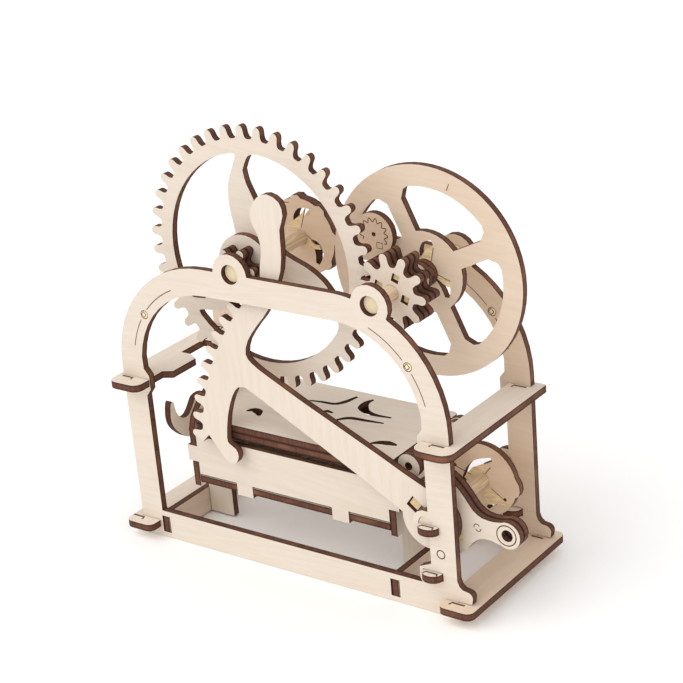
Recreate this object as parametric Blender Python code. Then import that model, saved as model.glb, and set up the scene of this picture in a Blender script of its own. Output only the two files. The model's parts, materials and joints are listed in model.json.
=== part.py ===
"""Wooden mechanical jigsaw model: an arched stand carrying a hand-turned
flywheel, a gear train, a toothed sector lever and a small lidded box.

Metres, +Z up.  X runs along the long side, Y runs from front to back.
The drawing helpers take millimetres and convert once, in one place.
"""
import math

import bmesh
import bpy
from mathutils import Vector

MM = 0.001

# ---------------------------------------------------------------- dimensions
PLY = 3.0                 # sheet thickness
GAP = 0.3                 # clearance between neighbouring pieces
SPAN_HALF = 78.2          # mid-plane to the outer edge of a leg
LEG_WIDTH = 11.2          # width of a leg
DEPTH = 61.6              # front face to back face of the stand
RAIL_TOP = 12.1           # top of the bottom rail
ARCH_TOP = 124.4          # top edge of the arch
ARCH_BAND = 11.0          # width of the arch band
CORNER_X = 30.5           # centre of the arch corner arcs
CORNER_Z = 76.4
SHELF_TOP = 72.0
BASE_TOP = 7.4
OVERHANG = 6.5            # base plates past the front frame
BASE_BACK = 3.5           # base plates past the back frame
SHELF_OVER = 8.0          # shelves past the front frame
SHELF_BACK = 1.5          # shelves past the back frame
KEY_OUT = 4.0             # round ends of the foot keys past the frames

MODULE = 2.57             # tooth module shared by all toothed pieces
GEAR_TEETH = 40
DRIVE_TEETH = 10
SMALL_TEETH = 6
SECTOR_TEETH = 87         # teeth on the full circle of the sector

GEAR_X, GEAR_Z = -16.4, 124.4
FLY_X = 47.8
FLY_Z = GEAR_Z - math.sqrt((MODULE * (GEAR_TEETH + DRIVE_TEETH) / 2) ** 2
                           - (FLY_X - GEAR_X) ** 2)
LEVER_X = 65.6
LEVER_Z = GEAR_Z - math.sqrt((MODULE * (SECTOR_TEETH + SMALL_TEETH) / 2) ** 2
                             - (LEVER_X - GEAR_X) ** 2)
SHAFT_R = 3.0
JOURNAL_R = 3.9           # shaft ends that run in the ears
RECESS = 1.9              # shaft ends behind the outer faces of the frames
AXLE_R = 3.0
BEARING_GAP = 0.1

FLYWHEEL_R = 42.0
FLYWHEEL_RIM = 8.3
FLYWHEEL_HUB = 16.2
SPOKE_WIDTH = 7.2

# front faces of the moving plates, measured from the front of the stand
Y_LEVER = PLY + GAP
Y_CRANK = Y_LEVER + PLY + GAP
Y_GEAR = 18.0
Y_DRUM = 46.0
Y_FLYWHEEL = 38.0
Y_REAR_DISC = 40.6

BOX_LEFT, BOX_RIGHT = -53.9, 46.8
BOX_FRONT, BOX_BACK = 8.0, 53.6
BOX_FLOOR = 25.5
BOX_WALL_TOP = 46.5
LID_TOP = 56.0
HINGE_X, HINGE_Z = 52.0, 53.4
ROD_R = 1.6
BASE_LEFT, BASE_RIGHT = 82.5, 87.3   # mid-plane to the outer edge of a base plate
RING_X, RING_Z = 97.0, 36.8
RING_R = 5.5

# the shared origin is the middle of the ground outline of the whole object
ORIGIN = ((RING_X + RING_R - BASE_LEFT) / 2, (DEPTH + KEY_OUT - SHELF_OVER) / 2, 0.0)

# --------------------------------------------------------------- collections
for old in list(bpy.data.objects):
    bpy.data.objects.remove(old, do_unlink=True)

main = bpy.data.collections.new("mechanical_jigsaw_model")
bpy.context.scene.collection.children.link(main)


def wood(name, colour, rough=0.62):
    mat = bpy.data.materials.new(name)
    mat.use_nodes = True
    bsdf = mat.node_tree.nodes["Principled BSDF"]
    bsdf.inputs["Base Color"].default_value = (*colour, 1.0)
    bsdf.inputs["Roughness"].default_value = rough
    mat.diffuse_color = (*colour, 1.0)
    return mat


# -------------------------------------------------------------- outline tools
def arc(cx, cz, r, a0, a1, n):
    """Points on a circular arc from angle a0 to a1 in degrees."""
    out = []
    for i in range(n + 1):
        a = math.radians(a0 + (a1 - a0) * i / n)
        out.append((cx + r * math.cos(a), cz + r * math.sin(a)))
    return out


def circle(cx, cz, r, n=24):
    return arc(cx, cz, r, 0, 360, n)[:-1]


def box2(x0, z0, x1, z1):
    return [(x0, z0), (x1, z0), (x1, z1), (x0, z1)]


def turned(points, angle, cx=0.0, cz=0.0):
    a = math.radians(angle)
    c, s = math.cos(a), math.sin(a)
    return [(cx + x * c - z * s, cz + x * s + z * c) for x, z in points]


def mirrored(points):
    return [(-x, z) for x, z in reversed(points)]


def polar(r, a, cx=0.0, cz=0.0):
    a = math.radians(a)
    return (cx + r * math.cos(a), cz + r * math.sin(a))


def smooth(points, n=3):
    """Catmull-Rom curve through an open list of points."""
    pts = [points[0]] + list(points) + [points[-1]]
    out = []
    for i in range(1, len(pts) - 2):
        p0, p1, p2, p3 = (Vector(p) for p in pts[i - 1:i + 3])
        for k in range(n):
            t = k / n
            q = 0.5 * (2 * p1 + (p2 - p0) * t
                       + (2 * p0 - 5 * p1 + 4 * p2 - p3) * t * t
                       + (3 * p1 - p0 - 3 * p2 + p3) * t ** 3)
            out.append((q.x, q.y))
    out.append(tuple(points[-1]))
    return out


def rounded(points, r, n=3):
    """Closed outline with every corner rounded to radius r."""
    out = []
    count = len(points)
    for i, p in enumerate(points):
        p = Vector(p)
        a = Vector(points[i - 1]) - p
        b = Vector(points[(i + 1) % count]) - p
        cut = min(r, a.length * 0.45, b.length * 0.45)
        start = p + a.normalized() * cut
        end = p + b.normalized() * cut
        for k in range(n + 1):
            t = k / n
            q = start * (1 - t) ** 2 + p * 2 * t * (1 - t) + end * t * t
            out.append((q.x, q.y))
    return out


def ribbon(points, widths):
    """Closed outline of a curved stroke with a width at every point."""
    path = smooth(points, 3)
    count = len(path)
    left_side, right_side = [], []
    for i, p in enumerate(path):
        a = Vector(path[max(i - 1, 0)])
        b = Vector(path[min(i + 1, count - 1)])
        d = (b - a).normalized()
        t = i / (count - 1) * (len(widths) - 1)
        k = min(int(t), len(widths) - 2)
        w = widths[k] + (widths[k + 1] - widths[k]) * (t - k)
        left_side.append((p[0] - d.y * w / 2, p[1] + d.x * w / 2))
        right_side.append((p[0] + d.y * w / 2, p[1] - d.x * w / 2))
    return left_side + list(reversed(right_side))


def meet(c1, r1, c2, r2):
    """Angle on circle 1 of its two crossings with circle 2."""
    dx, dz = c2[0] - c1[0], c2[1] - c1[1]
    d = math.hypot(dx, dz)
    base = math.degrees(math.atan2(dz, dx))
    off = math.degrees(math.acos((r1 * r1 + d * d - r2 * r2) / (2 * r1 * d)))
    return base - off, base + off


def tooth(pitch_r, add=0.85, ded=1.15):
    """One tooth as (radius, sideways) pairs from its left root to its right."""
    side = [(-ded, 1.20), (-0.84 * ded, 0.94), (-0.45 * ded, 0.74), (0.0, 0.68),
            (0.42 * add, 0.61), (0.76 * add, 0.44), (0.97 * add, 0.17)]
    left = [(pitch_r + h * MODULE, -w * MODULE) for h, w in side]
    right = [(r, -w) for r, w in reversed(left)]
    return left + right


def toothed(teeth, first, last, step, pitch_r, cx=0.0, cz=0.0):
    """Tooth points at centre angles first, first+step, ... last."""
    out = []
    count = int(round((last - first) / step)) + 1
    for i in range(count):
        centre = first + step * i
        sign = 1 if step > 0 else -1
        for r, w in teeth:
            out.append(polar(r, centre + sign * math.degrees(w / pitch_r), cx, cz))
    return out


def gear_outline(teeth, phase, add=0.85):
    pitch_r = MODULE * teeth / 2
    step = 360 / teeth
    return toothed(tooth(pitch_r, add), phase, phase + 360 - step, step, pitch_r)


# --------------------------------------------------------------- solid makers
FACING = {
    "front": (math.pi / 2, 0.0, 0.0),
    "side": (math.pi / 2, 0.0, math.pi / 2),
    "flat": (0.0, 0.0, 0.0),
}


def plate(name, mat, facing, at, loops, thick=PLY):
    """Flat sheet: the first loop is the outline, the others are cut-outs."""
    data = bpy.data.curves.new(name, "CURVE")
    data.dimensions = "2D"
    data.fill_mode = "BOTH"
    data.extrude = thick * MM / 2
    for loop in loops:
        spline = data.splines.new("POLY")
        spline.points.add(len(loop) - 1)
        for point, (u, v) in zip(spline.points, loop):
            point.co = (u * MM, v * MM, 0.0, 1.0)
        spline.use_cyclic_u = True
    data.materials.append(mat)
    obj = bpy.data.objects.new(name, data)
    obj.rotation_euler = FACING[facing]
    obj.location = [(c - o) * MM for c, o in zip(at, ORIGIN)]
    main.objects.link(obj)
    return obj


def rod(name, mat, at, profile, n=24):
    """Turned rod along Y: profile is a list of (y, radius) from front to back."""
    mesh = bpy.data.meshes.new(name)
    bm = bmesh.new()
    rings = []
    for y, r in profile:
        ring = [bm.verts.new((x * MM, y * MM, z * MM)) for x, z in circle(0, 0, r, n)]
        rings.append(ring)
    for a, b in zip(rings, rings[1:]):
        for i in range(n):
            j = (i + 1) % n
            bm.faces.new((a[i], b[i], b[j], a[j]))
    bm.faces.new(rings[0])
    bm.faces.new(list(reversed(rings[-1])))
    bmesh.ops.recalc_face_normals(bm, faces=bm.faces)
    bm.to_mesh(mesh)
    bm.free()
    mesh.materials.append(mat)
    obj = bpy.data.objects.new(name, mesh)
    obj.location = [(c - o) * MM for c, o in zip(at, ORIGIN)]
    main.objects.link(obj)
    return obj


def pale(name, tint=1.0):
    return wood(name + "_ply", (0.80 * tint, 0.68 * tint, 0.51 * tint))


# --------------------------------------------------------------- arched stand
LEG_IN = SPAN_HALF - LEG_WIDTH
OUT_R = ARCH_TOP - CORNER_Z
IN_R = OUT_R - ARCH_BAND
EAR_R = 8.2
AXLE_BOSS = 5.6
KEY_Z = 16.3
KEY_X0, KEY_X1 = 63.3, 71.8


def leg_foot(side):
    """Outer edge of one leg from the ground to the corner arc."""
    x = SPAN_HALF
    if side < 0:
        return [(x, 0)] + arc(CORNER_X, CORNER_Z, OUT_R, 0, 90, 14)
    heel = arc(82.4, 10.4, 2.3, -20, 90, 4)
    low = [(x, 0), (x, BASE_TOP + GAP), (84.2, BASE_TOP + GAP)]
    return low + heel + [(80.4, 13.0), (79.0, 14.2), (x, 16.4)]


left = [(-x, z) for x, z in leg_foot(-1)]
ear1 = arc(GEAR_X, GEAR_Z, EAR_R, 180, 0, 10)
a_arc = meet((CORNER_X, CORNER_Z), OUT_R, (FLY_X, FLY_Z), EAR_R)
a_ear = meet((FLY_X, FLY_Z), EAR_R, (CORNER_X, CORNER_Z), OUT_R)
right = arc(CORNER_X, CORNER_Z, OUT_R, 90, a_arc[1], 5)[:-1]
right += arc(FLY_X, FLY_Z, EAR_R, a_ear[0] + 360, a_ear[1], 10)
right += arc(CORNER_X, CORNER_Z, OUT_R, a_arc[0], 0, 9)[1:]
right += list(reversed(leg_foot(1)))
outer = left + ear1 + right

collar = [(LEG_IN, 64.5), (LEG_IN - 2.3, 67.5), (LEG_IN - 2.3, 73.5), (LEG_IN, 76.4)]
boss_a = math.degrees(math.acos((LEVER_X - LEG_IN) / -AXLE_BOSS))
boss = arc(LEVER_X, LEVER_Z, AXLE_BOSS, 360 - boss_a, boss_a, 8)
boss = [p for p in boss if p[0] <= LEG_IN + 0.01]
key_lug = [(LEG_IN, 21.0), (61.6, 18.6), (61.6, 14.0), (62.4, RAIL_TOP)]
opening = [(-LEG_IN, RAIL_TOP)] + [(-x, z) for x, z in collar]
opening += arc(-CORNER_X, CORNER_Z, IN_R, 180, 90, 11)[1:]
opening += arc(CORNER_X, CORNER_Z, IN_R, 90, 0, 11)[:-1]
opening += list(reversed(collar)) + list(reversed(boss)) + key_lug

bearing = JOURNAL_R + BEARING_GAP
slots = [box2(-67.5, 2.3, -63.3, 9.7), box2(47.4, 2.3, 51.6, 9.7)]
slots += [box2(KEY_X0 - GAP, KEY_Z - PLY / 2 - GAP, KEY_X1 + GAP, KEY_Z + PLY / 2 + GAP)]
PEG_R = 1.6
PEG_A = 36.8
PEG_AT = IN_R + 3.4
pegs = [polar(PEG_AT, 180 - PEG_A, -CORNER_X, CORNER_Z), polar(PEG_AT, PEG_A, CORNER_X, CORNER_Z)]
frame_loops = [outer, opening, circle(GEAR_X, GEAR_Z, bearing), circle(FLY_X, FLY_Z, bearing)]
frame_loops += [circle(LEVER_X, LEVER_Z, AXLE_R + BEARING_GAP)] + slots
frame_loops += [circle(x, z, PEG_R + GAP, 14) for x, z in pegs]

for name, y in (("front_frame", PLY / 2), ("back_frame", DEPTH - PLY / 2)):
    plate(name, pale(name), "front", (0, y, 0), frame_loops)
for end, y in (("front", 0.0), ("back", DEPTH - PLY)):
    for side, (x, z) in zip(("left", "right"), pegs):
        name = f"peg_{end}_{side}"
        rod(name, wood(name + "_birch", (0.83, 0.66, 0.38)), (x, y, z), [(0, PEG_R), (PLY, PEG_R)], 14)


def end_plate(name, side, z, inner, front_inner, outer_x, over, notch, cut, extra=()):
    """Horizontal sheet slotted over both frames at one end of the stand."""
    front, back = over
    deep = DEPTH + GAP
    slot = SPAN_HALF + GAP
    small = min(cut, back - 0.8)
    rear = DEPTH + back - small
    pts = [(front_inner, -GAP)]
    pts += arc(front_inner + cut, cut - front, cut, 180, 270, 4)
    pts += arc(outer_x - cut, cut - front, cut, 270, 360, 4)
    pts += arc(outer_x - small, rear, small, 0, 90, 4)
    pts += arc(front_inner + small, rear, small, 90, 180, 4)
    pts += [(front_inner, deep), (slot, deep), (slot, DEPTH - PLY - GAP)]
    pts += [(notch, DEPTH - PLY - GAP), (notch, DEPTH - 9.0), (inner, DEPTH - 11.0)]
    pts += list(extra)
    pts += [(inner, 11.0), (notch, 9.0), (notch, PLY + GAP), (slot, PLY + GAP), (slot, -GAP)]
    if side < 0:
        pts = mirrored(pts)
    plate(name, pale(name), "flat", (0, 0, z), [pts])


base_z = BASE_TOP - PLY / 2
base_over = (OVERHANG, BASE_BACK)
end_plate("base_plate_left", -1, base_z, 72.0, 68.6, BASE_LEFT, base_over, 72.0, 3.0)
end_plate("base_plate_right", 1, base_z, 72.0, 72.5, BASE_RIGHT, base_over, 72.0, 3.0)
shelf_z = SHELF_TOP - PLY / 2
shelf_over = (SHELF_OVER, SHELF_BACK)
bite = [(61.5, 46.0), (63.5, 43.0), (71.5, 43.0), (71.5, 28.2), (66.5, 28.2), (61.5, 25.5)]
end_plate("shelf_left", -1, shelf_z, 61.5, 64.8, 80.2, shelf_over, 65.5, 3.5, bite)
end_plate("shelf_right", 1, shelf_z, 69.0, 66.5, 83.0, shelf_over, 69.0, 4.5)

for word, x in (("left", -65.4), ("right", 49.5)):
    y0, y1 = PLY + GAP, DEPTH - PLY - GAP
    pts = [(y0, 0.6), (y1, 0.6), (y1, 2.6), (DEPTH, 2.6), (DEPTH, 9.4), (y1, 9.4), (y1, 11.6),
           (y0, 11.6), (y0, 9.4), (0.0, 9.4), (0.0, 2.6), (y0, 2.6)]
    plate(f"crossbar_{word}", pale(f"crossbar_{word}", 0.96), "side", (x, 0, 0), [pts])
guide = [(0, 0.6), (12.4, 0.6), (12.4, BOX_FLOOR - GAP), (3.4, BOX_FLOOR - GAP), (0, 21.5)]
plate("guide_left", pale("guide_left", 0.96), "front", (-65.4 + PLY / 2 + GAP, 28.2, 0), [guide])
plate("guide_right", pale("guide_right", 0.96), "front", (49.5 - PLY / 2 - GAP, 28.2, 0),
      [mirrored(guide)])

half = (KEY_X1 - KEY_X0) / 2
tip = [(x, -0.5 + (KEY_OUT - 0.5) * z / half) for x, z in arc(0, 0, half, 180, 360, 8)]
foot_key = tip + [(x, PLY - z) for x, z in reversed(tip)]
for word, y in (("front", 0.0), ("back", DEPTH - PLY)):
    plate(f"foot_key_{word}", pale(f"foot_key_{word}"), "flat", ((KEY_X0 + KEY_X1) / 2, y, KEY_Z), [foot_key])

# ------------------------------------------------------------ big gear body
mesh_angle = math.degrees(math.atan2(FLY_Z - GEAR_Z, FLY_X - GEAR_X))
lever_angle = math.degrees(math.atan2(GEAR_Z - LEVER_Z, GEAR_X - LEVER_X))
GEAR_TURN = 0.9           # rest position of the gear past the tooth-in-gap position, degrees
LEVER_TURN = 0.55         # the same for the sector lever
BORE = SHAFT_R + BEARING_GAP
window = smooth([polar(36.0, 95), polar(41.6, 90), polar(42.9, 84)], 4)
window += [polar(42.9, a) for a in range(78, -17, -6)]
window += smooth([polar(42.9, -19), polar(41.8, -21.5), polar(37.0, -17), polar(31.0, -9),
                  polar(24.0, -1), polar(17.0, 8), polar(12.6, 22), polar(11.6, 44), polar(13.4, 66),
                  polar(18.5, 81), polar(24.4, 88), polar(31.0, 94), polar(36.0, 95)], 4)[:-1]
gear_phase = mesh_angle + 180 / GEAR_TEETH + GEAR_TURN
gear_loops = [gear_outline(GEAR_TEETH, gear_phase)]
gear_loops += [turned(window, 120 * k) for k in range(3)]
gear_loops += [circle(0, 0, BORE)]
plate("big_gear", pale("big_gear"), "front", (GEAR_X, Y_GEAR + PLY / 2, GEAR_Z), gear_loops)

small = gear_outline(SMALL_TEETH, lever_angle + 180 - LEVER_TURN * SECTOR_TEETH / SMALL_TEETH, 0.8)
for k in range(2):
    name = f"small_pinion_{k + 1}"
    y = Y_LEVER + PLY / 2 + k * (PLY + GAP)
    plate(name, pale(name, 0.97), "front", (GEAR_X, y, GEAR_Z), [small, circle(0, 0, BORE)])
plate("pinion_disc", pale("pinion_disc"), "front",
      (GEAR_X, Y_LEVER + 2 * (PLY + GAP) + PLY / 2, GEAR_Z), [circle(0, 0, 12.8, 40), circle(0, 0, BORE)])


def swirl(phase, inner=4.9, outer=12.6, sweep=-24.0):
    """Three curved slots that run outwards from a disc centre."""
    out = []
    for k in range(3):
        a = phase + 120 * k
        path = [polar(inner + (outer - inner) * t, a + sweep * t * t) for t in (0, 0.35, 0.7, 1)]
        out.append(ribbon(path, [1.8, 3.6, 4.0, 1.8]))
    return out


def journals(name, at):
    """Shaft with a wider journal at each end."""
    step = PLY + 0.2
    ends = [(RECESS, JOURNAL_R - 0.4), (RECESS + 0.4, JOURNAL_R), (step, JOURNAL_R), (step, SHAFT_R)]
    profile = ends + [(DEPTH - y, r) for y, r in reversed(ends)]
    rod(name, wood(f"{name}_birch", (0.82, 0.65, 0.40)), at, profile)


drum = []
for k in range(8):
    drum += [polar(16.2, 45 * k + d) for d in (-20, -12, -5)]
    drum += [polar(17.4, 45 * k), polar(17.4, 45 * k + 9), polar(16.2, 45 * k + 14)]
plate("gear_drum", pale("gear_drum", 0.93), "front", (GEAR_X, Y_DRUM + 1.5 * PLY / 2, GEAR_Z),
      [drum] + swirl(105, sweep=-40) + [circle(0, 0, BORE)], 1.5 * PLY)
journals("gear_shaft", (GEAR_X, 0, GEAR_Z))

# ------------------------------------------------------------- flywheel body
def spoke_window(k):
    """Opening between two neighbouring spokes."""
    rim = FLYWHEEL_R - FLYWHEEL_RIM
    a0, a1 = 25 + 90 * k, 115 + 90 * k
    hub_in = math.degrees(math.asin(SPOKE_WIDTH / 2 / FLYWHEEL_HUB))
    rim_in = math.degrees(math.asin(SPOKE_WIDTH / 2 / (rim - 4.5)))
    pts = arc(0, 0, FLYWHEEL_HUB, a0 + hub_in, a1 - hub_in, 6)
    pts += [polar(rim - 4.5, a1 - rim_in), polar(rim - 1.0, a1 - rim_in - 4)]
    pts += arc(0, 0, rim, a1 - rim_in - 8, a0 + rim_in + 8, 7)
    pts += [polar(rim - 1.0, a0 + rim_in + 4), polar(rim - 4.5, a0 + rim_in)]
    return pts


flywheel_loops = [circle(0, 0, FLYWHEEL_R, 72)] + [spoke_window(k) for k in range(4)]
flywheel_loops += swirl(98) + [circle(0, 0, BORE)]
plate("flywheel", pale("flywheel"), "front", (FLY_X, Y_FLYWHEEL + PLY / 2, FLY_Z), flywheel_loops)

drive_phase = mesh_angle + 180
squares = [turned(box2(4.5, -1.6, 7.8, 1.6), drive_phase - 17.7 + 90 * k) for k in range(4)]
drive_turn = GEAR_TURN * GEAR_TEETH / DRIVE_TEETH
drive_loops = [gear_outline(DRIVE_TEETH, drive_phase - drive_turn)] + squares + [circle(0, 0, BORE)]
for k in range(3):
    name = f"drive_pinion_{k + 1}"
    y = Y_GEAR + PLY / 2 + (k - 1) * (PLY + GAP)
    plate(name, pale(name, 0.97), "front", (FLY_X, y, FLY_Z), drive_loops)
plate("flywheel_collar", pale("flywheel_collar"), "front",
      (FLY_X, Y_FLYWHEEL - GAP - PLY, FLY_Z), [circle(0, 0, 5.4, 28), circle(0, 0, BORE)], 2 * PLY)
KNOB_R = 8.6
knob = polar(24.4, 147)
plate("flywheel_knob", pale("flywheel_knob", 0.95), "front",
      (FLY_X + knob[0], Y_FLYWHEEL - GAP - PLY / 2, FLY_Z + knob[1]), [circle(0, 0, KNOB_R, 32)])
journals("flywheel_shaft", (FLY_X, 0, FLY_Z))

# ---------------------------------------------------------- sector lever body
SECTOR_R = MODULE * SECTOR_TEETH / 2
STEP = 360 / SECTOR_TEETH
HUB_R = 12.3


def on_lever(x, z):
    """Point given in stand coordinates, moved to the lever axis."""
    return (x - LEVER_X, z - LEVER_Z)


low_tooth = lever_angle + LEVER_TURN + STEP * 9.5
rack = toothed(tooth(SECTOR_R), low_tooth, low_tooth - STEP * 10, -STEP, SECTOR_R)
crown = [on_lever(*p) for p in ((-3.6, 129.5), (-2.4, 135.3), (-3.3, 141.1), (-5.5, 145.2), (-5.8, 150.6),
                                (-2.0, 155.9), (3.0, 157.8), (8.2, 155.4), (9.5, 150.2), (7.4, 144.6),
                                (7.2, 138.0), (5.9, 128.0), (-0.8, 112.8), (-8.2, 103.8), (-13.6, 96.6),
                                (-15.4, 90.6), (-13.0, 87.2), (-8.0, 84.2))]
upper = [on_lever(*p) for p in ((9.2, 75.8), (44.9, 59.6), (55.4, 54.6))]
hub = arc(0, 0, HUB_R, 86, -180 - 4, 20)
lower = [on_lever(*p) for p in ((34.0, 49.2), (19.5, 56.8), (-12.0, 73.4))]
tail = [on_lever(*p) for p in ((-17.4, 76.0), (-21.2, 75.4), (-24.6, 71.0), (-28.0, 62.0), (-29.7, 52.0),
                               (-28.9, 49.4), (-25.8, 47.6), (-24.8, 44.6), (-26.4, 41.4), (-29.8, 40.6),
                               (-33.2, 43.4), (-36.6, 48.0), (-39.2, 51.2))]
lever_outline = rack + smooth(crown, 2) + upper + hub + lower + smooth(tail, 2)
hub_slot = turned(box2(5.0, -2.5, 10.9, 2.5), 143)
plate("sector_lever", pale("sector_lever"), "front", (LEVER_X, Y_LEVER + PLY / 2, LEVER_Z),
      [lever_outline, hub_slot, circle(0, 0, AXLE_R + BEARING_GAP)])

ring = on_lever(RING_X, RING_Z)
crank = smooth([on_lever(*p) for p in ((66.0, 56.6), (72.0, 55.4), (76.0, 52.4), (79.6, 48.2),
                                       (82.8, 43.9), (86.6, 41.6), (91.2, 41.2))], 2)
crank += arc(ring[0], ring[1], RING_R, 118, -124, 12)
crank += smooth([on_lever(*p) for p in ((89.4, 33.2), (85.2, 32.8), (81.6, 30.0), (78.6, 26.6),
                                        (74.0, 24.6))], 2)
crank += arc(0, 0, 14.6, -62, -262, 16)
for k in range(2):
    name = f"crank_arm_{k + 1}"
    plate(name, pale(name), "front", (LEVER_X, Y_CRANK + PLY / 2 + k * (PLY + GAP), LEVER_Z),
          [crank, circle(0, 0, AXLE_R + BEARING_GAP), circle(ring[0], ring[1], 2.4, 20)])
rear = arc(0, 0, 15.3, 12, 342, 34)
rear += [polar(16.4, 346), polar(16.8, 354), polar(16.4, 360 + 3)]
hollow = [polar(9.2, 196), polar(6.8, 166), polar(6.3, 132), polar(7.4, 96), polar(10.6, 64)]
rear_slots = [ribbon(hollow, [1.6, 3.2, 3.2, 1.6])]
for a in (-60, 226):
    rear_slots.append(ribbon([polar(12.0, a - 21), polar(9.8, a), polar(12.0, a + 21)], [1.4, 3.0, 1.4]))
plate("rear_disc", pale("rear_disc", 0.93), "front", (LEVER_X, Y_REAR_DISC + PLY / 2, LEVER_Z),
      [rear] + rear_slots + [circle(0, 0, AXLE_R + BEARING_GAP)])
rod("lever_axle", wood("lever_axle_birch", (0.82, 0.65, 0.40)), (LEVER_X, 0, LEVER_Z),
    [(GAP, AXLE_R), (DEPTH - GAP, AXLE_R)])
key = [(x, 3.6 * y / 4.5) for x, y in arc(0, 0, 4.5, 180, 360, 8)]
key_at = (LEVER_X + 1.6, LEVER_Z - 1.6)
plate("axle_key_front", pale("axle_key_front"), "flat", (key_at[0], -GAP, key_at[1]), [key])
plate("axle_key_back", pale("axle_key_back"), "flat", (key_at[0], DEPTH + GAP, key_at[1]),
      [[(x, -y) for x, y in reversed(key)]])

# ------------------------------------------------------------------ small box
WALL_IN = BOX_LEFT + PLY
WALL_OUT = BOX_RIGHT - PLY
TAB_Z0, TAB_Z1 = 34.6, 41.6
FLOOR_TAB = [(-31.5, -23.5), (16.0, 24.0)]
floor_z = BOX_FLOOR + PLY / 2
side_wall = [(WALL_IN + GAP, 29.2)]
for x0, x1 in FLOOR_TAB:
    side_wall += [(x0, 29.2), (x0, 23.9), (x1, 23.9), (x1, 29.2)]
side_wall += [(WALL_OUT - GAP, 29.2), (WALL_OUT - GAP, TAB_Z0), (BOX_RIGHT + 1.6, TAB_Z0),
              (BOX_RIGHT + 1.6, TAB_Z1), (WALL_OUT - GAP, TAB_Z1), (WALL_OUT - GAP, BOX_WALL_TOP),
              (WALL_IN + GAP, BOX_WALL_TOP), (WALL_IN + GAP, TAB_Z1), (BOX_LEFT - 1.8, TAB_Z1),
              (BOX_LEFT - 1.8, TAB_Z0), (WALL_IN + GAP, TAB_Z0)]
for word, y in (("front", BOX_FRONT), ("back", BOX_BACK - PLY)):
    plate(f"box_{word}", pale(f"box_{word}"), "front", (0, y + PLY / 2, 0), [side_wall])

y_mid = (BOX_FRONT + BOX_BACK) / 2
half_y = (BOX_BACK - BOX_FRONT) / 2


def notched(top):
    """End wall outline with a notch on each upright edge for the side wall tabs."""
    inner = half_y - PLY - GAP
    lift = TAB_Z0 - GAP, TAB_Z1 + GAP
    pts = [(-half_y, 23.5), (-6.5, 23.5), (-6.5, BOX_FLOOR + 0.2), (1.6, BOX_FLOOR + 0.2), (1.6, 23.5),
           (half_y, 23.5), (half_y, lift[0]), (inner, lift[0]), (inner, lift[1]), (half_y, lift[1])]
    pts += top
    pts += [(-half_y, lift[1]), (-inner, lift[1]), (-inner, lift[0]), (-half_y, lift[0])]
    return pts


STEM_Z0, STEM_Z1 = 41.9, 46.9
stem_slot = box2(-PLY / 2 - GAP, STEM_Z0 - GAP, PLY / 2 + GAP, STEM_Z1 + GAP)
gable = [(half_y, 49.0)] + smooth([(21.0, 54.0), (15.0, 60.0), (7.0, 64.0), (0, 65.0), (-7.0, 64.0),
                                   (-15.0, 60.0), (-21.0, 54.0)], 2) + [(-half_y, 49.0)]
floor_tabs = [(-14.0, -9.0), (9.0, 14.0)]
floor_slots = [box2(a - GAP, BOX_FLOOR - GAP, b + GAP, BOX_FLOOR + PLY + GAP) for a, b in floor_tabs]
plate("box_left", pale("box_left", 0.97), "side", ((BOX_LEFT + WALL_IN) / 2, y_mid, 0),
      [notched(gable), stem_slot] + floor_slots)
low = [(half_y, LID_TOP - 2 * PLY - 2 * GAP), (-half_y, LID_TOP - 2 * PLY - 2 * GAP)]
plate("box_right", pale("box_right", 0.97), "side", ((BOX_RIGHT + WALL_OUT) / 2, y_mid, 0),
      [notched(low)] + floor_slots)

fx0, fx1 = WALL_IN + GAP, WALL_OUT - GAP
floor = [(fx0, BOX_FRONT)]
for x0, x1 in FLOOR_TAB:
    floor += [(x0 - GAP, BOX_FRONT), (x0 - GAP, BOX_FRONT + PLY + GAP), (x1 + GAP, BOX_FRONT + PLY + GAP),
              (x1 + GAP, BOX_FRONT)]
floor += [(fx1, BOX_FRONT)]
for a, b in floor_tabs:
    floor += [(fx1, y_mid + a), (BOX_RIGHT, y_mid + a), (BOX_RIGHT, y_mid + b), (fx1, y_mid + b)]
floor += [(fx1, BOX_BACK)]
for x0, x1 in reversed(FLOOR_TAB):
    floor += [(x1 + GAP, BOX_BACK), (x1 + GAP, BOX_BACK - PLY - GAP), (x0 - GAP, BOX_BACK - PLY - GAP),
              (x0 - GAP, BOX_BACK)]
floor += [(fx0, BOX_BACK)]
for a, b in reversed(floor_tabs):
    floor += [(fx0, y_mid + b), (BOX_LEFT, y_mid + b), (BOX_LEFT, y_mid + a), (fx0, y_mid + a)]
plate("box_floor", pale("box_floor", 0.95), "flat", (0, 0, floor_z), [floor])

# two-horned pull on a short stem through the left wall
HOOK_X = -67.5
horn = smooth([(0.0, 36.0), (5.0, 36.2), (9.5, 37.2), (12.5, 38.8), (16.6, 42.6), (19.0, 46.2), (19.8, 50.4),
               (18.8, 56.0), (17.0, 56.0), (16.2, 51.6), (13.8, 47.9), (11.0, 46.6), (8.4, 47.1), (5.8, 49.6),
               (3.2, 52.6), (0.0, 53.2)], 2)
plate("box_hook", pale("box_hook", 0.97), "side", (HOOK_X, y_mid, 0),
      [horn[:-1] + mirrored(horn)[:-1], stem_slot])
stem_x0, stem_x1 = HOOK_X + PLY / 2 + GAP, BOX_LEFT - GAP
stem_low = STEM_Z0 - 2.4
stem = [(HOOK_X - PLY / 2, STEM_Z0), (stem_x0, STEM_Z0), (stem_x0, stem_low), (stem_x1, stem_low),
        (stem_x1, STEM_Z0), (WALL_IN, STEM_Z0), (WALL_IN, STEM_Z1), (HOOK_X - PLY / 2, STEM_Z1)]
plate("hook_stem", pale("hook_stem", 0.97), "front", (0, y_mid, 0), [stem])

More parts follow.
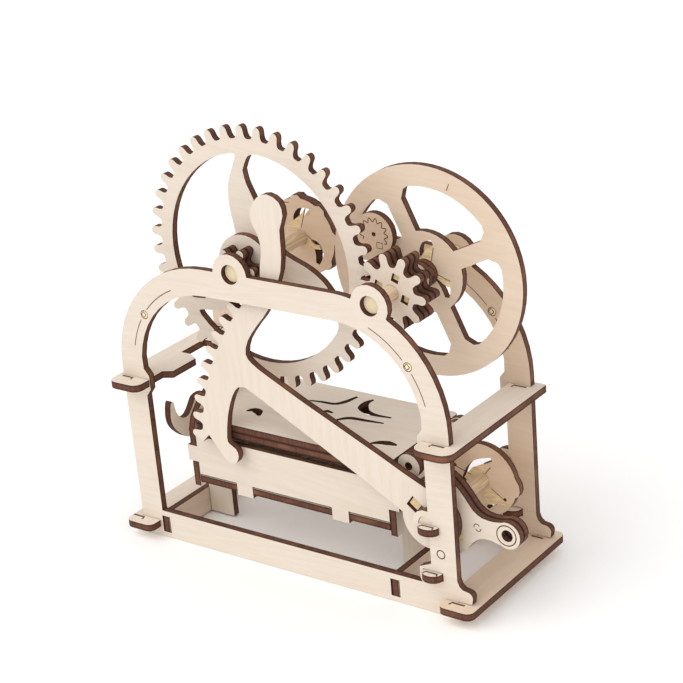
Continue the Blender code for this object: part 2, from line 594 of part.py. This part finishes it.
# ------------------------------------------------------------------ hinged lid
EAR_Y = (BOX_FRONT + PLY + GAP, BOX_BACK - 2 * PLY - GAP)
ear_top = arc(HINGE_X, HINGE_Z, 5.0, -108, 180, 14)
cheek = [(BOX_RIGHT + GAP, 33.0), (BOX_RIGHT + 3.4, 33.0)] + ear_top + [(BOX_RIGHT + GAP, 46.0)]
for word, y in zip(("front", "back"), EAR_Y):
    plate(f"hinge_cheek_{word}", pale(f"hinge_cheek_{word}"), "front", (0, y + PLY / 2, 0),
          [cheek, circle(HINGE_X, HINGE_Z, ROD_R + BEARING_GAP, 16)])
rod("hinge_rod", wood("hinge_rod_birch", (0.83, 0.66, 0.38)), (HINGE_X, 0, HINGE_Z),
    [(EAR_Y[0] + 1.4, ROD_R), (EAR_Y[1] + PLY - 1.4, ROD_R)], 16)

LID_X0, LID_X1 = WALL_IN + 0.8, HINGE_X - 5.4
LID_Y0, LID_Y1 = 7.0, 55.8
KNUCKLE_X = 36.3


lid_outline = rounded([(LID_X0, LID_Y0), (LID_X1, LID_Y0), (LID_X1, LID_Y1), (LID_X0, LID_Y1)], 2.5)
scrolls = [
    ribbon([(-15, 39.6), (-9.5, 40.7), (-4, 41.2), (-1, 44.4), (0.8, 51)], [1.0, 1.6, 2.0, 2.6, 1.4]),
    ribbon([(8.6, 51.4), (7.6, 47.6), (9.0, 43.4), (13, 40.4), (18.4, 39.4), (25, 40)],
           [1.0, 3.0, 4.6, 3.2, 2.0, 1.0]),
    ribbon([(5.8, 28.4), (8.0, 31.4), (11, 33), (16.7, 33.5), (25.1, 34.4)], [1.2, 2.2, 2.4, 2.0, 1.0]),
    ribbon([(30.6, 17), (33.3, 19.2), (36.8, 20.2), (41, 20)], [1.0, 3.0, 3.6, 1.0]),
    ribbon([(-3.8, 32.6), (-2.6, 34.2), (0.8, 33.8)], [0.8, 2.2, 1.0]),
    ribbon([(-32.6, 20.2), (-30.6, 22.4), (-27.6, 21.6), (-24.9, 18.6)], [1.0, 3.4, 4.0, 1.0]),
]
plate("lid_top", pale("lid_top"), "flat", (0, 0, LID_TOP - PLY / 2), [lid_outline] + scrolls)
under = rounded([(LID_X0, LID_Y0 + 0.6), (KNUCKLE_X - GAP, LID_Y0 + 0.6), (KNUCKLE_X - GAP, LID_Y1 - 0.6),
                 (LID_X0, LID_Y1 - 0.6)], 2.0)
plate("lid_under", pale("lid_under", 0.95), "flat", (0, 0, LID_TOP - GAP - 1.5 * PLY),
      [under, box2(-38.0, 13.5, 27.0, 50.0)])
z0, z1 = LID_TOP - 2 * PLY - GAP, LID_TOP - PLY - GAP
a0, a1 = (math.degrees(math.asin((z - HINGE_Z) / 4.6)) for z in (z0, z1))
knuckle = [(KNUCKLE_X, z1), (KNUCKLE_X, z0)] + arc(HINGE_X, HINGE_Z, 4.6, 180 - a0, 540 - a1, 14)
for word, y in (("front", EAR_Y[0] + PLY + GAP), ("back", EAR_Y[1] - PLY - GAP)):
    plate(f"lid_knuckle_{word}", pale(f"lid_knuckle_{word}"), "front", (0, y + PLY / 2, 0),
          [knuckle, circle(HINGE_X, HINGE_Z, ROD_R + BEARING_GAP, 16)])
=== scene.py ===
"""Looks of the wooden mechanical jigsaw model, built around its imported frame."""

import json
import math

import bmesh
import bpy
from mathutils import Matrix, Vector


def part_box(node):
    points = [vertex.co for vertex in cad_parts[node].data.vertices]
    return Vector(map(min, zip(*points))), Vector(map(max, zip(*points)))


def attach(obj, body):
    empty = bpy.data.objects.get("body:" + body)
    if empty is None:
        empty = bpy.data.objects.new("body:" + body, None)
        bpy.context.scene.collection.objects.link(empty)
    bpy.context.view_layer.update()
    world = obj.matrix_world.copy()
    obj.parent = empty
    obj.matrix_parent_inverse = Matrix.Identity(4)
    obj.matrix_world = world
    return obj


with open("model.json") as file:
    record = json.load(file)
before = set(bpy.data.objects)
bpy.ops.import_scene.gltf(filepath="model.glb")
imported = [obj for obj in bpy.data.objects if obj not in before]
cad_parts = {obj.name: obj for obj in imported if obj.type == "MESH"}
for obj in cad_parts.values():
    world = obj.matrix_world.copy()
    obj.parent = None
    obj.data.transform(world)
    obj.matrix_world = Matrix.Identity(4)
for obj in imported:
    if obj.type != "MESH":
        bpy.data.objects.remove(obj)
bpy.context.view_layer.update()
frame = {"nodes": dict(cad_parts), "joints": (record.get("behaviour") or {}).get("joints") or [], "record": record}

MM = 0.001
NODES = frame["nodes"]
BODY_OF = {n: b for b, ns in frame["record"]["behaviour"]["bodies"].items() for n in ns}
JOINTS = {j["name"]: j for j in frame["joints"]}
RODS = ("gear_shaft", "flywheel_shaft", "lever_axle", "hinge_rod",
        "peg_front_left", "peg_front_right", "peg_back_left", "peg_back_right")
SHEET = 3.0 * MM          # thickness of one plywood sheet


def joint_at(name):
    """Where a joint's axis crosses the plane of the sheets."""
    x, _, z = JOINTS[name]["pos_m"]
    return Vector((x, z))


GEAR, FLY, LEVER = (joint_at(n) for n in ("gear_spin", "flywheel_spin", "lever_swing"))

# ------------------------------------------------------------------ materials


class Shader:
    """Short way to add and link shader nodes of one material."""

    def __init__(self, name):
        self.mat = bpy.data.materials.new(name)
        self.mat.use_nodes = True
        self.tree = self.mat.node_tree
        self.bsdf = self.tree.nodes["Principled BSDF"]
        self.coords = self.tree.nodes.new("ShaderNodeTexCoord")

    def link(self, value, socket):
        """Joins a socket to another node's output, or sets it to a constant."""
        if isinstance(value, bpy.types.NodeSocket):
            self.tree.links.new(value, socket)
        else:
            socket.default_value = value

    def math(self, op, a, b=0.0):
        node = self.tree.nodes.new("ShaderNodeMath")
        node.operation = op
        self.link(a, node.inputs[0])
        self.link(b, node.inputs[1])
        return node.outputs[0]

    def span(self, value, low, high, to_low=0.0, to_high=1.0):
        """Smooth step from one range of values to another."""
        node = self.tree.nodes.new("ShaderNodeMapRange")
        node.interpolation_type = "SMOOTHSTEP"
        self.link(value, node.inputs["Value"])
        self.link(low, node.inputs["From Min"])
        self.link(high, node.inputs["From Max"])
        self.link(to_low, node.inputs["To Min"])
        self.link(to_high, node.inputs["To Max"])
        return node.outputs["Result"]

    def scaled(self, scale, turn=0.0, axis=2, shift=0.0):
        """Object coordinates turned about one axis, then stretched."""
        node = self.tree.nodes.new("ShaderNodeMapping")
        node.vector_type = "TEXTURE"
        node.inputs["Rotation"].default_value[axis] = turn
        node.inputs["Location"].default_value = (shift, shift * 0.7, shift * 1.3)
        node.inputs["Scale"].default_value = [1 / s for s in scale]
        self.tree.links.new(self.coords.outputs["Object"], node.inputs["Vector"])
        return node.outputs["Vector"]

    def noise(self, vector, detail=3.0, rough=0.55, distort=0.0):
        node = self.tree.nodes.new("ShaderNodeTexNoise")
        node.inputs["Scale"].default_value = 1.0
        node.inputs["Detail"].default_value = detail
        node.inputs["Roughness"].default_value = rough
        node.inputs["Distortion"].default_value = distort
        self.tree.links.new(vector, node.inputs["Vector"])
        return node.outputs["Fac"]

    def mix(self, factor, a, b, mode="MIX"):
        node = self.tree.nodes.new("ShaderNodeMix")
        node.data_type = "RGBA"
        node.blend_type = mode
        self.link(factor, node.inputs["Factor"])
        for value, socket in ((a, node.inputs["A"]), (b, node.inputs["B"])):
            self.link((*value, 1.0) if isinstance(value, tuple) else value, socket)
        return node.outputs["Result"]

    def split(self, vector, axis):
        """One coordinate of a vector."""
        node = self.tree.nodes.new("ShaderNodeSeparateXYZ")
        self.tree.links.new(vector, node.inputs[0])
        return node.outputs[axis]

    def bump(self, height, strength, depth):
        node = self.tree.nodes.new("ShaderNodeBump")
        node.inputs["Strength"].default_value = strength
        node.inputs["Distance"].default_value = depth
        self.tree.links.new(height, node.inputs["Height"])
        self.tree.links.new(node.outputs["Normal"], self.bsdf.inputs["Normal"])

    def surface(self, colour, rough):
        self.tree.links.new(colour, self.bsdf.inputs["Base Color"])
        self.link(rough, self.bsdf.inputs["Roughness"])
        self.bsdf.inputs["Specular IOR Level"].default_value = 0.3
        return self.mat


# birch faces
PALE = (0.715, 0.615, 0.515)
CREAM = (0.765, 0.680, 0.590)
STREAK = (0.60, 0.475, 0.365)
# painted warm shade, multiplied into the faces of the sheets listed below
PAINTED_SHADE_TINT = (1.00, 0.84, 0.69)
# laser-cut edges
CHAR = (0.024, 0.010, 0.007)
BROWN = (0.160, 0.060, 0.032)
AMBER = (0.30, 0.130, 0.062)
# turned rods, with the end grain of most of them and of two that differ
ROD_DARK, ROD_LIGHT = (0.52, 0.37, 0.22), (0.72, 0.57, 0.40)
ROD_END = (0.84, 0.71, 0.47)
END_GRAIN = {"lever_axle": (0.78, 0.67, 0.55), "hinge_rod": (0.05, 0.025, 0.015)}
# how much painted warm shade is multiplied into the faces of each of these sheets, up to 1
PAINTED_SHADE_AMOUNT = {"back_frame": 0.5, "rear_disc": 0.8, "gear_drum": 0.8, "flywheel_knob": 0.8, "flywheel": 0.5,
        "base_plate_right": 0.55, "crossbar_left": 0.5, "crossbar_right": 0.5}
# stacked sheets whose faces against a neighbouring sheet take the dark edge colour, painted shade in the seams
# between them: clean on the far face (1), the near face (-1) or neither (0)
SEAM_SHADE_FACES = {"drive_pinion_1": -1, "drive_pinion_2": 0, "drive_pinion_3": 1,
         "small_pinion_1": -1, "small_pinion_2": 0, "crank_arm_1": -1, "crank_arm_2": 1}
# noise cycles per metre
ACROSS_GRAIN, ALONG_GRAIN = 520.0, 45.0
ACROSS_SOOT, THROUGH_SOOT = 1500.0, 160.0
CLOUDS, PATCHES = 34, 70


def birch_face(sh, scale, turn, axis, shift, tint):
    """Colour and grain of a sanded birch face."""
    grain = sh.noise(sh.scaled(scale, turn, axis, shift), 4.0, 0.6, 0.3)
    fine = sh.noise(sh.scaled([s * 4 for s in scale], turn, axis, shift + 0.3), 2.0)
    cloud = sh.noise(sh.scaled([CLOUDS] * 3, 0.0, axis, shift), 2.0)
    colour = sh.mix(sh.span(grain, 0.25, 0.75), PALE, CREAM)
    colour = sh.mix(sh.math("MULTIPLY", sh.span(fine, 0.58, 0.80), 0.22), colour, STREAK)
    colour = sh.mix(sh.span(cloud, 0.3, 0.7, 0.0, 0.22), colour, tint)
    return colour, grain


def burnt_edge(sh, scale, low, axis, thick, shift):
    """Colour of a laser-cut edge: black at both rims, brown between, streaked across."""
    streak = sh.noise(sh.scaled(scale, 0.0, axis, shift), 3.0, 0.6)
    patch = sh.noise(sh.scaled([PATCHES] * 3, 0.0, axis, shift + 0.1), 2.0)
    depth = sh.split(sh.coords.outputs["Object"], axis)
    depth = sh.math("DIVIDE", sh.math("SUBTRACT", depth, low), thick)
    sheets = max(1.0, round(thick / SHEET))
    depth = sh.math("FRACT", sh.math("MULTIPLY", depth, sheets))
    middle = sh.math("MULTIPLY", sh.math("MULTIPLY", depth, sh.math("SUBTRACT", 1.0, depth)), 4.0)
    colour = sh.mix(sh.span(streak, 0.2, 0.8, 0.35, 1.0), CHAR, BROWN)
    colour = sh.mix(sh.math("MULTIPLY", sh.span(patch, 0.45, 0.8), 0.6), colour, AMBER)
    return sh.mix(sh.span(middle, 0.20, 0.85, 0.95, 0.0), colour, CHAR)


def plywood(name, index):
    """Plywood sheet: pale faces across the thin axis, scorched cut edges around it."""
    low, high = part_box(name)
    size = high - low
    axis = min(range(3), key=lambda i: size[i])
    long_axis = max((i for i in range(3) if i != axis), key=lambda i: size[i])
    sh = Shader(f"plywood_{name}")
    scale = [ACROSS_GRAIN] * 3
    scale[long_axis] = ALONG_GRAIN
    turn = math.radians((index * 37) % 11 - 5)
    warm = 0.02 * (index % 5)
    tint = (0.73 - warm, 0.62 - warm, 0.50 - warm)
    face, grain = birch_face(sh, scale, turn, axis, 0.13 * index, tint)
    # painted warm shade on the faces of the sheets listed for it
    face = sh.mix(PAINTED_SHADE_AMOUNT.get(name, 0.0), face, PAINTED_SHADE_TINT, "MULTIPLY")
    streak = [ACROSS_SOOT] * 3
    streak[axis] = THROUGH_SOOT
    edge = burnt_edge(sh, streak, low[axis], axis, size[axis], 0.17 * index)
    facing = sh.split(sh.coords.outputs["Normal"], axis)
    # in a stack, faces against the next sheet take the edge colour as painted seam shade
    facing = sh.math("MULTIPLY", facing, SEAM_SHADE_FACES[name]) if name in SEAM_SHADE_FACES else sh.math("ABSOLUTE", facing)
    mask = sh.span(facing, 0.62, 0.985)
    colour = sh.mix(mask, edge, face)
    sh.bump(grain, 0.12, 0.00010)
    return sh.surface(colour, sh.span(mask, 0.0, 1.0, 0.82, 0.60))


def turned_birch(name, index):
    """Turned rod with grain along its length and pale end grain."""
    sh = Shader(f"birch_{name}")
    along = sh.noise(sh.scaled((900, 60, 900), 0.0, 1, 0.11 * index), 4.0, 0.6)
    colour = sh.mix(sh.span(along, 0.35, 0.68), ROD_DARK, ROD_LIGHT)
    ends = sh.math("ABSOLUTE", sh.split(sh.coords.outputs["Normal"], 1))
    colour = sh.mix(sh.span(ends, 0.7, 1.0), colour, END_GRAIN.get(name, ROD_END))
    sh.bump(along, 0.3, 0.0001)
    return sh.surface(colour, 0.58)


def scorched():
    """Fine laser-engraved line, and the dark disc of a small hole: painted shade inside the hole, with the burnt
    colour of its wall.
    """
    sh = Shader("engraving_and_hole_shade")
    speck = sh.noise(sh.scaled((700, 700, 700)), 2.0)
    colour = sh.mix(sh.span(speck, 0.35, 0.7), (0.050, 0.022, 0.012), (0.16, 0.075, 0.035))
    return sh.surface(colour, 0.85)


def tenon():
    """Bare golden end of a tab or peg set in a slot."""
    sh = Shader("tenon_birch")
    grain = sh.noise(sh.scaled((300, 300, 1500)), 3.0)
    return sh.surface(sh.mix(sh.span(grain, 0.3, 0.7), (0.70, 0.50, 0.26), (0.88, 0.72, 0.46)), 0.6)


ENGRAVING_AND_HOLE_SHADE = scorched()
TENON = tenon()


ROD_BEVEL, SHEET_BEVEL = 0.25 * MM, 0.16 * MM


def dress(obj, mat, bevel):
    """Material, softened edges and smooth curves on a frame node."""
    obj.data.materials.clear()
    obj.data.materials.append(mat)
    obj.data.shade_smooth()
    obj.data.set_sharp_from_angle(angle=math.radians(32))
    mod = obj.modifiers.new("soft_edges", "BEVEL")
    mod.width = bevel
    mod.segments = 2
    mod.limit_method = "ANGLE"
    mod.angle_limit = math.radians(55)
    mod.harden_normals = True
    mod.use_clamp_overlap = True


for number, node in enumerate(sorted(NODES)):
    if node in RODS:
        dress(NODES[node], turned_birch(node, number), ROD_BEVEL)
    else:
        dress(NODES[node], plywood(node, number), SHEET_BEVEL)

# ------------------------------------------------- engraved lines and tab ends
# Drawing millimetres: X from the middle of the arch, Y back from the front frame, Z up from the ground.
LEG_OUT = 78.2                                     # middle of the arch to the outside of a leg
MID_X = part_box("front_frame")[0].x / MM + LEG_OUT
FRONT_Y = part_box("front_frame")[0].y / MM
# for each face: the axes of the drawing's two directions and of its level, and which way is out
FACES = {"front": (0, 2, 1, -1), "back": (0, 2, 1, 1), "top": (0, 1, 2, 1)}
SUNK, PROUD = 0.15, 0.03                           # depth of a burnt line below and above its face
CORNER_X, CORNER_Z = 30.5, 76.4                    # centre of an arch corner
LINE_R = 40.4                                      # guide line and pegs, from that centre
PEG_ANGLE = 36.8
CRANK_EYE = (97.0, 36.8)                           # hole at the end of the crank arm
SQUARES_BACK = 17.7                                # pinion's square holes, back from the line of centres
HUB_SLOT_ANGLE = 143                               # direction of the slot in the lever's hub
SLOT_Y, SLOT_BACK_Y = -1.3, 57.3                   # lines before the front and the back frame


def place(face, u, v, level):
    """Point in metres from two drawing coordinates and a level, all in millimetres."""
    first, second, depth, _ = FACES[face]
    point = Vector((0.0, 0.0, 0.0))
    point[first], point[second], point[depth] = u, v, level
    return Vector((point.x + MID_X, point.y + FRONT_Y, point.z)) * MM


def polar(r, a, cx, cz):
    """Point at a distance and an angle, in degrees, from a centre."""
    return (cx + r * math.cos(math.radians(a)), cz + r * math.sin(math.radians(a)))


def arc(cx, cz, r, a0, a1, n):
    return [polar(r, a0 + (a1 - a0) * i / n, cx, cz) for i in range(n + 1)]


def piece(name, node, bm, mat):
    """Object from a mesh that moves with the body of a node."""
    bmesh.ops.recalc_face_normals(bm, faces=bm.faces)
    data = bpy.data.meshes.new(name)
    bm.to_mesh(data)
    bm.free()
    data.materials.append(mat)
    obj = bpy.data.objects.new(name, data)
    bpy.context.scene.collection.objects.link(obj)
    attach(obj, BODY_OF[node])


def face_level(node, face):
    """Level of the outermost face of a node on one side, in drawing millimetres."""
    _, _, depth, out = FACES[face]
    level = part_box(node)[0 if out < 0 else 1][depth] / MM
    return level - (FRONT_Y if depth == 1 else 0.0)


def engrave(name, node, face, lines, width=0.32):
    """Thin burnt lines in a face; a line whose ends meet is closed."""
    out = FACES[face][3]
    level = face_level(node, face)
    bm = bmesh.new()
    for line in lines:
        closed = line[0] == line[-1]
        pts = [Vector(p) for p in (line[:-1] if closed else line)]
        n = len(pts)
        rows = []
        for i, p in enumerate(pts):
            a = pts[i - 1] if closed or i else p
            b = pts[(i + 1) % n] if closed or i < n - 1 else p
            d = (b - a).normalized()
            side = Vector((-d.y, d.x)) * width / 2
            rows.append([bm.verts.new(place(face, *(p + side * s), level + out * h))
                         for s, h in ((-1, -SUNK), (1, -SUNK), (1, PROUD), (-1, PROUD))])
        for i in range(n if closed else n - 1):
            a, b = rows[i], rows[(i + 1) % n]
            for k in range(4):
                bm.faces.new((a[k], a[(k + 1) % 4], b[(k + 1) % 4], b[k]))
        if not closed:
            bm.faces.new(rows[0])
            bm.faces.new(rows[-1])
    piece(name, node, bm, ENGRAVING_AND_HOLE_SHADE)


def insert(name, node, face, outlines, recess, thick, mat):
    """Small prisms whose outer ends lie below a face, or above it where the recess is negative."""
    out = FACES[face][3]
    level = face_level(node, face)
    bm = bmesh.new()
    for outline in outlines:
        top = [bm.verts.new(place(face, u, v, level - out * recess)) for u, v in outline]
        low = [bm.verts.new(place(face, u, v, level - out * (recess + thick))) for u, v in outline]
        bm.faces.new(top)
        bm.faces.new(low)
        for i in range(len(top)):
            j = (i + 1) % len(top)
            bm.faces.new((top[i], top[j], low[j], low[i]))
    piece(name, node, bm, mat)


def flush_tabs(name, node, outlines):
    """Golden tab ends that lie level with the front of a sheet."""
    insert(name, node, "front", outlines, -0.02, 0.6, TENON)


def drawn(point):
    """Drawing coordinates of a joint centre."""
    return point.x / MM - MID_X, point.y / MM


def middle(node):
    """Drawing X and Z of the middle of a node."""
    low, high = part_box(node)
    return (low.x + high.x) / 2 / MM - MID_X, (low.z + high.z) / 2 / MM


def turned_box(centre, a, x0, z0, x1, z1):
    """Rectangle turned by an angle about a centre."""
    c, s = math.cos(math.radians(a)), math.sin(math.radians(a))
    corners = ((x0, z0), (x1, z0), (x1, z1), (x0, z1))
    return [(centre[0] + x * c - z * s, centre[1] + x * s + z * c) for x, z in corners]


def ring(centre, r, n=28):
    """Closed circle whose last point repeats the first."""
    pts = arc(centre[0], centre[1], r, 0, 360, n)
    return pts[:-1] + [pts[0]]


def disc(centre, r, n):
    """Outline of a round prism."""
    return ring(centre, r, n)[:-1]


def arch_lines():
    """Guide lines along the corners of both arches, broken at the pegs."""
    right = [arc(CORNER_X, CORNER_Z, LINE_R, high, low, n) for high, low, n in ((66, 41, 10), (32.6, 14, 8))]
    left = [[(-x, z) for x, z in line] for line in right]
    for node, face in (("front_frame", "front"), ("back_frame", "front"), ("back_frame", "back")):
        engrave(f"arch_line_{node}_{face}", node, face, right + left, 0.34)
    peg_x, peg_z = polar(LINE_R, PEG_ANGLE, CORNER_X, CORNER_Z)
    corners = ((1.15, 0), (0, 1.3), (-1.15, 0), (0, -1.3), (1.15, 0))
    for word in ("front", "back"):
        for side, sign in (("right", 1), ("left", -1)):
            diamond = [(sign * peg_x + dx, peg_z + dz) for dx, dz in corners]
            for face in ("front", "back"):
                engrave(f"peg_mark_{word}_{side}_{face}", f"peg_{word}_{side}", face, [diamond], 0.42)


def slot_lines():
    """Lines beside the slots in the shelves, base plates and keys."""
    for side, sign in (("right", 1), ("left", -1)):
        shelf = [[(sign * 72.0, y - 1.7), (sign * 72.2, y), (sign * 77.6, y)] for y in (SLOT_Y, SLOT_BACK_Y)]
        engrave(f"slot_line_shelf_{side}", f"shelf_{side}", "top", shelf, 1.0)
        base = [[(sign * 76.0, SLOT_Y - 1.7), (sign * 76.4, SLOT_Y), (sign * 82.0, SLOT_Y)]]
        base += [[(sign * 76.6, SLOT_BACK_Y), (sign * 82.0, SLOT_BACK_Y)]]
        engrave(f"slot_line_base_{side}", f"base_plate_{side}", "top", base, 1.0)
    for key in ("axle_key", "foot_key"):
        x, _ = middle(f"{key}_front")
        bracket = [(x - 3.0, -2.6), (x - 2.6, -1.2), (x + 2.6, -1.2), (x + 3.0, -2.6)]
        engrave(f"slot_line_{key}", f"{key}_front", "top", [bracket], 0.8)
    engrave("leg_ring", "front_frame", "front", [ring((72.0, 26.0), 1.7)], 0.45)


def wavy(centre, r, deep, a0, a1, waves, n):
    """Gear-like wavy line round a centre."""
    out = []
    for i in range(n + 1):
        t = i / n
        out.append(polar(r + deep * math.sin(2 * math.pi * waves * t), a0 + (a1 - a0) * t, *centre))
    return out


def wheel_marks():
    """Marks and tab ends on the flywheel, its knob and the driven pinion."""
    engrave("flywheel_tick", "flywheel", "front", [
        [(59.5, 155.2), (60.7, 157.9)], [(52.1, 131.9), (50.7, 126.4)], [(51.5, 122.1), (58.7, 119.6)]])
    knob = middle("flywheel_knob")
    engrave("knob_wave", "flywheel_knob", "front", [wavy(knob, 5.7, 0.8, -35, 205, 9, 81)], 0.38)
    # dark disc for the bore: painted shade inside the hole, with the burnt colour of its wall
    insert("knob_bore", "flywheel_knob", "front", [disc(knob, 0.9, 14)], -0.02, 0.3, ENGRAVING_AND_HOLE_SHADE)
    square = turned_box(knob, 0, 1.1, -5.4, 3.6, -3.1)
    engrave("knob_square", "flywheel_knob", "front", [square + square[:1]], 0.34)
    first = math.degrees(math.atan2(FLY.y - GEAR.y, FLY.x - GEAR.x)) + 180 - SQUARES_BACK
    tabs = [turned_box(drawn(FLY), first + 90 * k, 5.1, -1.35, 7.6, 1.35) for k in range(4)]
    insert("drive_tabs", "drive_pinion_1", "front", tabs, 1.1, 1.7, TENON)
    flush_tabs("flywheel_tabs", "flywheel", [
        [(46.2, 127.5), (48.6, 131.0), (52.3, 132.9), (50.7, 127.0), (49.5, 125.7), (46.7, 125.9)],
        [(50.9, 121.8), (51.9, 122.3), (59.0, 119.3), (59.3, 118.1), (57.6, 117.1), (55.7, 117.9),
         (53.1, 119.7)]])


def drum_marks():
    """Tab ends, seams and small holes of the drum behind the gear and of the rear disc."""
    flush_tabs("drum_tabs", "gear_drum", [
        [(-22.9, 128.2), (-15.3, 133.9), (-12.8, 136.9), (-13.8, 134.1), (-15.6, 128.4), (-19.6, 127.9)],
        [(-12.9, 125.4), (-9.9, 122.1), (-7.2, 121.8), (-6.7, 120.3), (-10.1, 120.1), (-15.2, 119.8),
         (-13.2, 122.6)]])
    engrave("drum_seams", "gear_drum", "front", [
        [(-12.9, 136.5), (-15.6, 128.4)], [(-12.9, 125.4), (-8.6, 122.2)],
        [(-24.3, 137.9), (-20.8, 138.3)]])
    flush_tabs("rear_tabs", "rear_disc", [
        [(57.6, 36.9), (60.6, 34.4), (62.2, 36.6), (65.7, 40.3), (69.3, 43.7), (66.4, 44.2), (61.4, 41.6)],
        [(69.4, 34.6), (77.3, 30.5), (77.2, 28.5), (74.0, 28.5), (70.8, 27.8), (67.8, 27.1), (65.9, 32.6)]])
    engrave("rear_seams", "rear_disc", "front", [
        [(53.3, 41.0), (60.9, 38.7)], [(69.8, 34.4), (76.1, 30.3)], [(67.4, 40.4), (70.0, 43.6)]])
    # dark discs for three small holes: painted shade inside them, with the burnt colour of their walls
    holes = [disc(at, 0.75, 12) for at in ((62.4, 30.9), (75.8, 30.9), (53.7, 41.3))]
    insert("rear_holes", "rear_disc", "front", holes, -0.04, 0.3, ENGRAVING_AND_HOLE_SHADE)


def lever_marks():
    """Ring and mark on the crank arm and the tab in the lever hub."""
    engrave("crank_ring", "crank_arm_1", "front", [ring(CRANK_EYE, 4.1)], 0.45)
    mark = [arc(84.3, 37.5, 1.2, 20, 200, 8), arc(84.9, 37.0, 1.2, 200, 360, 8)]
    engrave("crank_mark", "crank_arm_1", "front", mark, 0.38)
    hub_tab = turned_box(drawn(LEVER), HUB_SLOT_ANGLE, 6.2, -1.7, 10.4, 1.7)
    insert("hub_tab", "sector_lever", "front", [hub_tab], 0.9, 1.8, TENON)
    insert("crank_peg", "crank_arm_1", "front", [disc((77.4, 31.3), 1.2, 16)], -0.03, 0.3, TENON)


arch_lines()
slot_lines()
wheel_marks()
drum_marks()
lever_marks()

# ------------------------------------------------------------- floor and light


def floor():
    """White paper under the stand."""
    sh = Shader("floor_paper")
    tone = sh.noise(sh.scaled((6, 6, 6)), 2.0)
    sh.surface(sh.mix(tone, (0.975, 0.975, 0.98), (0.985, 0.985, 0.985)), 0.9)
    bpy.ops.mesh.primitive_plane_add(size=12.0, location=(0, 0, -0.1 * MM))
    plane = bpy.context.object
    plane.name = "floor"
    plane.data.materials.append(sh.mat)


def softbox(name, place, size, power, colour):
    """Square lamp that faces the middle of the stand's foot."""
    data = bpy.data.lights.new(name, "AREA")
    data.shape = "SQUARE"
    data.size = size
    data.energy = power
    data.color = colour
    obj = bpy.data.objects.new(name, data)
    obj.location = place
    obj.rotation_euler = Vector(place).to_track_quat("Z", "Y").to_euler()
    bpy.context.scene.collection.objects.link(obj)


def sunlight(place, strength, spread):
    """Soft sun from the direction of a place."""
    data = bpy.data.lights.new("sun", "SUN")
    data.energy = strength
    data.angle = math.radians(spread)
    data.color = (1.0, 0.985, 0.965)
    obj = bpy.data.objects.new("sun", data)
    obj.rotation_euler = Vector(place).to_track_quat("Z", "Y").to_euler()
    bpy.context.scene.collection.objects.link(obj)


def daylight(strength):
    """Even white light from all round."""
    world = bpy.data.worlds.new("studio")
    world.use_nodes = True
    back = world.node_tree.nodes["Background"]
    back.inputs["Color"].default_value = (1.0, 0.99, 0.985, 1.0)
    back.inputs["Strength"].default_value = strength
    bpy.context.scene.world = world


floor()
sunlight((-0.50, -0.75, 1.0), 1.15, 60.0)
softbox("side", (1.0, -0.35, 0.65), 0.8, 1.2, (1.0, 0.98, 0.95))
daylight(0.86)
bpy.context.scene.view_settings.view_transform = "Standard"

# ---------------------------------------------------------------------- camera
AZIMUTH, ELEVATION, ROLL = 37.32, 22.27, -5.07
CAMERA_AT = (0.41908, -0.54691, 0.37252)
FOCAL = 100.87


def camera():
    """Camera on the front right, a little above the arch."""
    a, e, r = (math.radians(v) for v in (AZIMUTH, ELEVATION, ROLL))
    back = Vector((math.sin(a) * math.cos(e), -math.cos(a) * math.cos(e), math.sin(e)))
    right = Vector((math.cos(a), math.sin(a), 0.0))
    up = back.cross(right)
    tilt = Matrix.Rotation(r, 3, back)
    right, up = tilt @ right, tilt @ up
    data = bpy.data.cameras.new("camera")
    data.sensor_width = 36.0
    data.lens = FOCAL
    data.clip_start = 0.01
    obj = bpy.data.objects.new("camera", data)
    obj.matrix_world = Matrix.Translation(CAMERA_AT) @ Matrix((right, up, back)).transposed().to_4x4()
    bpy.context.scene.collection.objects.link(obj)
    bpy.context.scene.camera = obj


camera()
